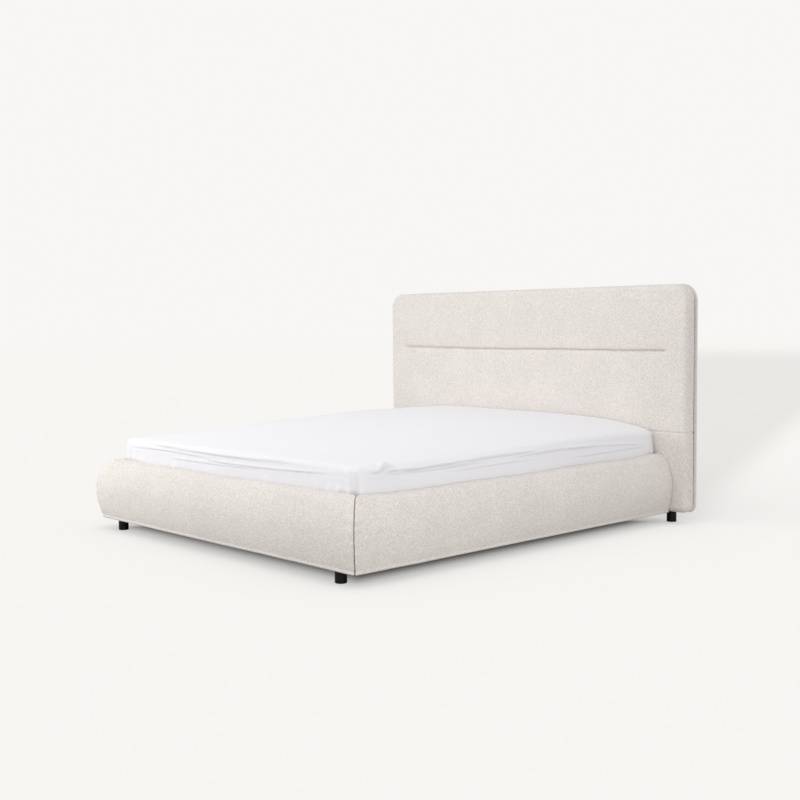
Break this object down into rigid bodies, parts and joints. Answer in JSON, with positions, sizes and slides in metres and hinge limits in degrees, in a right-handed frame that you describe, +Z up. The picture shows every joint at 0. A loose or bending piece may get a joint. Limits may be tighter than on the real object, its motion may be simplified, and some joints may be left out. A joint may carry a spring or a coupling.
{
  "type": "upholstered headboard bed",
  "caption": "Low king-size bed with bulging bouclé-padded rails, a wide padded headboard with a sewn pleat, sprung slats on a centre beam and a mattress in a fitted sheet.",
  "frame": {"origin": "on the floor, under the middle of the bed's bounding box", "axes": "+Z up, +Y from the foot end to the headboard, +X to the right seen from the foot end"},
  "size_m": [2.23, 2.26, 1.235],
  "materials": {
    "boucle": "matte",
    "piping": "matte",
    "back_cloth": "matte",
    "sheet": "matte",
    "ticking": "matte",
    "foam": "matte",
    "timber": "matte",
    "board": "matte",
    "slat_wood": "satin",
    "black_steel": "satin",
    "zinc": "satin",
    "black_plastic": "satin",
    "holder_plastic": "matte"
  },
  "bodies": {
    "bed_frame": {"centre_beam": "black_steel", "centre_leg_1": "black_steel", "centre_leg_2": "black_steel", "centre_leg_3": "black_steel", "centre_leg_bolts": "zinc", "centre_slat_holders": "holder_plastic", "foot_beam_hanger": "black_steel", "foot_rail_board": "board", "foot_rail_cover": "boucle", "foot_rail_foam": "foam", "hanger_screws": "zinc", "head_beam_hanger": "black_steel", "headboard_back_cloth": "back_cloth", "headboard_bolts": "zinc", "headboard_cover": "boucle", "headboard_cross_rails": "timber", "headboard_foam": "foam", "headboard_panel": "board", "headboard_piping": "piping", "headboard_tee_nuts": "zinc", "headboard_uprights": "timber", "left_corner_bracket": "black_steel", "left_front_leg": "black_plastic", "left_headboard_bracket": "black_steel", "left_ledger": "black_steel", "left_rail_board": "board", "left_rail_cover": "boucle", "left_rail_foam": "foam", "left_rear_leg": "black_plastic", "left_slat_holders": "holder_plastic", "leg_blocks": "timber", "leg_studs": "zinc", "rail_screws": "zinc", "right_corner_bracket": "black_steel", "right_front_leg": "black_plastic", "right_headboard_bracket": "black_steel", "right_ledger": "black_steel", "right_rail_board": "board", "right_rail_cover": "boucle", "right_rail_foam": "foam", "right_rear_leg": "black_plastic", "right_slat_holders": "holder_plastic", "slat_pair_01": "slat_wood", "slat_pair_02": "slat_wood", "slat_pair_03": "slat_wood", "slat_pair_04": "slat_wood", "slat_pair_05": "slat_wood", "slat_pair_06": "slat_wood", "slat_pair_07": "slat_wood", "slat_pair_08": "slat_wood", "slat_pair_09": "slat_wood", "slat_pair_10": "slat_wood", "slat_pair_11": "slat_wood", "slat_pair_12": "slat_wood", "slat_pair_13": "slat_wood"},
    "mattress": {"mattress": "ticking", "fitted_sheet": "sheet"},
    "levelling_foot_1": {"levelling_foot_1": "black_plastic"},
    "levelling_foot_2": {"levelling_foot_2": "black_plastic"},
    "levelling_foot_3": {"levelling_foot_3": "black_plastic"}
  },
  "joints": [
    {"name": "mattress_lift", "type": "slide", "parent": "bed_frame", "child": "mattress", "axis": [0, 0, 1], "range_m": [0, 0.4]},
    {"name": "levelling_screw_1", "type": "slide", "parent": "bed_frame", "child": "levelling_foot_1", "axis": [0, 0, 1], "range_m": [-0.012, 0.02]},
    {"name": "levelling_screw_2", "type": "slide", "parent": "bed_frame", "child": "levelling_foot_2", "axis": [0, 0, 1], "range_m": [-0.012, 0.02]},
    {"name": "levelling_screw_3", "type": "slide", "parent": "bed_frame", "child": "levelling_foot_3", "axis": [0, 0, 1], "range_m": [-0.012, 0.02]}
  ]
}
